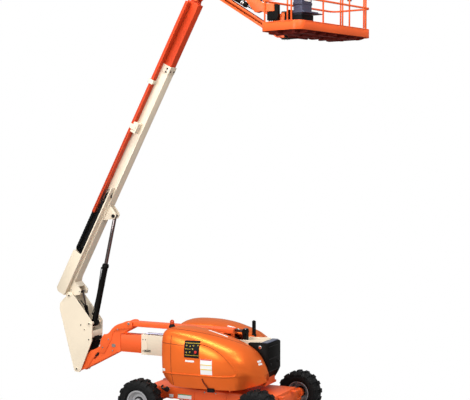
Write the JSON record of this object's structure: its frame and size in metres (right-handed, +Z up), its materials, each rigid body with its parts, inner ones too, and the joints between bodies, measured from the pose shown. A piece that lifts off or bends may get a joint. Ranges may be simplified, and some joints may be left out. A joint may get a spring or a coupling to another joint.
{
  "type": "articulating boom lift",
  "caption": "Wheeled self-propelled lift with a slewing turntable, telescoping tower and main booms, a jib and a railed work platform.",
  "frame": {"origin": "on the ground below the slew axis", "axes": "+X from the upright towards the work platform, +Y to the left, +Z up"},
  "size_m": [6.507, 2.6561, 8.9675],
  "materials": {
    "orange_paint": "semi-gloss",
    "hood_gloss": "gloss",
    "cream_paint": "semi-gloss",
    "black_steel": "satin",
    "chrome_rod": "polished",
    "console_plastic": "matt",
    "tyre_rubber": "matt",
    "rim_silver": "satin"
  },
  "bodies": {
    "chassis": {"chassis": "orange_paint", "slew_bearing": "black_steel", "front_axle": "orange_paint", "rear_axle": "orange_paint"},
    "knuckle_left": {"knuckle_left": "orange_paint"},
    "knuckle_right": {"knuckle_right": "orange_paint"},
    "wheel_front_left": {"tyre_front_left": "tyre_rubber", "rim_front_left": "rim_silver"},
    "wheel_front_right": {"tyre_front_right": "tyre_rubber", "rim_front_right": "rim_silver"},
    "wheel_rear_left": {"tyre_rear_left": "tyre_rubber", "rim_rear_left": "rim_silver"},
    "wheel_rear_right": {"tyre_rear_right": "tyre_rubber", "rim_rear_right": "rim_silver"},
    "turntable": {"turntable": "orange_paint", "counterweight": "black_steel", "engine": "black_steel", "tank": "black_steel"},
    "hood_left": {"hood_left": "hood_gloss"},
    "hood_right": {"hood_right": "hood_gloss"},
    "tower_base": {"tower_base": "cream_paint", "tower_extend_rod": "chrome_rod"},
    "tower_fly": {"tower_fly": "orange_paint", "tower_extend_barrel": "orange_paint"},
    "tower_lift_barrel": {"tower_lift_barrel": "black_steel"},
    "tower_lift_rod": {"tower_lift_rod": "chrome_rod"},
    "upright": {"upright": "cream_paint"},
    "boom_base": {"boom_base": "cream_paint", "chain_tray": "cream_paint", "chain_lower": "black_steel"},
    "chain_loop": {"chain_loop": "black_steel"},
    "boom_fly": {"boom_fly": "orange_paint", "push_tube": "orange_paint"},
    "lift_barrel": {"lift_barrel": "black_steel"},
    "lift_rod": {"lift_rod": "chrome_rod"},
    "level_barrel": {"level_barrel": "black_steel"},
    "level_rod": {"level_rod": "chrome_rod"},
    "jib_mount": {"jib_mount": "orange_paint"},
    "jib_lower_arm": {"jib_lower_arm": "orange_paint"},
    "jib_upper_arm": {"jib_upper_arm": "orange_paint"},
    "jib_barrel": {"jib_barrel": "black_steel"},
    "jib_rod": {"jib_rod": "chrome_rod"},
    "jib_head": {"jib_head": "orange_paint", "valve_block": "black_steel"},
    "platform": {"platform_floor": "orange_paint", "toe_board": "orange_paint", "platform_rails_inner": "orange_paint", "platform_rails_outer": "orange_paint", "platform_console": "console_plastic", "platform_mount": "orange_paint"},
    "gate": {"platform_gate": "orange_paint"}
  },
  "joints": [
    {"name": "slew", "type": "hinge", "parent": "chassis", "child": "turntable", "pos_m": [0, 0, 0.7], "axis": [0, 0, 1], "range_deg": [-180, 180]},
    {"name": "steer_left", "type": "hinge", "parent": "chassis", "child": "knuckle_left", "pos_m": [1.25, 0.76, 0.434], "axis": [0, 0, 1], "range_deg": [-35, 35]},
    {"name": "steer_right", "type": "hinge", "parent": "chassis", "child": "knuckle_right", "pos_m": [1.25, -0.76, 0.434], "axis": [0, 0, 1], "range_deg": [-35, 35]},
    {"name": "spin_front_left", "type": "hinge", "parent": "knuckle_left", "child": "wheel_front_left", "pos_m": [1.25, 1.065, 0.434], "axis": [0, 1, 0], "continuous": true},
    {"name": "spin_front_right", "type": "hinge", "parent": "knuckle_right", "child": "wheel_front_right", "pos_m": [1.25, -1.065, 0.434], "axis": [0, 1, 0], "continuous": true},
    {"name": "spin_rear_left", "type": "hinge", "parent": "chassis", "child": "wheel_rear_left", "pos_m": [-1.25, 1.065, 0.434], "axis": [0, 1, 0], "continuous": true},
    {"name": "spin_rear_right", "type": "hinge", "parent": "chassis", "child": "wheel_rear_right", "pos_m": [-1.25, -1.065, 0.434], "axis": [0, 1, 0], "continuous": true},
    {"name": "hood_left_open", "type": "hinge", "parent": "turntable", "child": "hood_left", "pos_m": [0, 0.275, 1.745], "axis": [1, 0, 0], "range_deg": [0, 70]},
    {"name": "hood_right_open", "type": "hinge", "parent": "turntable", "child": "hood_right", "pos_m": [0, -0.275, 1.745], "axis": [-1, 0, 0], "range_deg": [0, 70]},
    {"name": "tower_lift", "type": "hinge", "parent": "turntable", "child": "tower_base", "pos_m": [0.9, 0, 1.385], "axis": [0, 1, 0], "range_deg": [0, 68]},
    {"name": "tower_extend", "type": "slide", "parent": "tower_base", "child": "tower_fly", "axis": [-1, 0, 0], "range_m": [0, 1.5]},
    {"name": "upright_level", "type": "hinge", "parent": "tower_fly", "child": "upright", "pos_m": [-3.256, 0, 0.759], "axis": [0, 1, 0], "range_deg": [-68, 0]},
    {"name": "tower_lift_cylinder", "type": "hinge", "parent": "turntable", "child": "tower_lift_barrel", "pos_m": [0.72, 0, 0.95], "axis": [0, 1, 0], "range_deg": [0, 66.1]},
    {"name": "tower_lift_stroke", "type": "slide", "parent": "tower_lift_barrel", "child": "tower_lift_rod", "axis": [-0.9981, 0, 0.0616], "range_m": [0, 0.532]},
    {"name": "main_lift", "type": "hinge", "parent": "upright", "child": "boom_base", "pos_m": [-3.432, 0, 2.287], "axis": [0, -1, 0], "range_deg": [-64, 12.5]},
    {"name": "main_extend", "type": "slide", "parent": "boom_base", "child": "boom_fly", "axis": [0.4617, 0, 0.887], "range_m": [-1.2, 1.95]},
    {"name": "chain_travel", "type": "slide", "parent": "boom_base", "child": "chain_loop", "axis": [0.4617, 0, 0.887], "range_m": [-0.6, 0.975]},
    {"name": "lift_cylinder", "type": "hinge", "parent": "upright", "child": "lift_barrel", "pos_m": [-2.946, 0, 1.723], "axis": [0, -1, 0], "range_deg": [-59.7, 12.1]},
    {"name": "lift_stroke", "type": "slide", "parent": "lift_barrel", "child": "lift_rod", "axis": [0.2225, 0, 0.9749], "range_m": [-0.757, 0.149]},
    {"name": "level_cylinder", "type": "hinge", "parent": "upright", "child": "level_barrel", "pos_m": [-3.06, 0, 1.6], "axis": [0, -1, 0], "range_deg": [-1.7, 6.6]},
    {"name": "level_stroke", "type": "slide", "parent": "level_barrel", "child": "level_rod", "axis": [-0.2131, 0, 0.977], "range_m": [-0.207, 0.042]},
    {"name": "nose_level", "type": "hinge", "parent": "boom_fly", "child": "jib_mount", "pos_m": [-0.5155, 0, 8.3335], "axis": [0, -1, 0], "range_deg": [-12.5, 64]},
    {"name": "jib_lift", "type": "hinge", "parent": "jib_mount", "child": "jib_upper_arm", "pos_m": [-0.3955, 0, 8.9075], "axis": [0, -1, 0], "range_deg": [-27.5, 102.5]},
    {"name": "jib_lower_link", "type": "hinge", "parent": "jib_mount", "child": "jib_lower_arm", "pos_m": [-0.3645, 0, 8.5555], "axis": [0, -1, 0], "range_deg": [-27.5, 102.5]},
    {"name": "jib_head_level", "type": "hinge", "parent": "jib_upper_arm", "child": "jib_head", "pos_m": [1.20694, 0, 7.88663], "axis": [0, -1, 0], "range_deg": [-102.5, 27.5]},
    {"name": "jib_cylinder", "type": "hinge", "parent": "jib_mount", "child": "jib_barrel", "pos_m": [-0.3645, 0, 8.6355], "axis": [0, -1, 0], "range_deg": [-27.9, 102.5]},
    {"name": "jib_stroke", "type": "slide", "parent": "jib_barrel", "child": "jib_rod", "axis": [0.8764, 0, -0.4817], "range_m": [-0.109, 0.402]},
    {"name": "platform_rotate", "type": "hinge", "parent": "jib_head", "child": "platform", "pos_m": [1.36794, 0, 7.53463], "axis": [0, 0, 1], "range_deg": [-77, 103]},
    {"name": "gate_swing", "type": "hinge", "parent": "platform", "child": "gate", "pos_m": [2.60588, 0.94782, 8], "axis": [0, 0, 1], "range_deg": [0, 85]}
  ],
  "couplings": [
    {"joint": "steer_right", "follows": "steer_left", "ratio": 1},
    {"joint": "upright_level", "follows": "tower_lift", "ratio": -1},
    {"joint": "tower_lift_cylinder", "follows": "tower_lift", "ratio": 0.965},
    {"joint": "tower_lift_stroke", "follows": "tower_lift", "m_per_rad": 0.44691},
    {"joint": "chain_travel", "follows": "main_extend", "ratio": 0.5},
    {"joint": "lift_cylinder", "follows": "main_lift", "ratio": 0.925},
    {"joint": "lift_stroke", "follows": "main_lift", "m_per_rad": 0.67609},
    {"joint": "level_cylinder", "follows": "main_lift", "ratio": -0.095},
    {"joint": "level_stroke", "follows": "main_lift", "m_per_rad": 0.18335},
    {"joint": "nose_level", "follows": "main_lift", "ratio": -1},
    {"joint": "jib_lower_link", "follows": "jib_lift", "ratio": 1},
    {"joint": "jib_head_level", "follows": "jib_lift", "ratio": -1},
    {"joint": "jib_cylinder", "follows": "jib_lift", "ratio": 0.995},
    {"joint": "jib_stroke", "follows": "jib_lift", "m_per_rad": 0.22345}
  ]
}
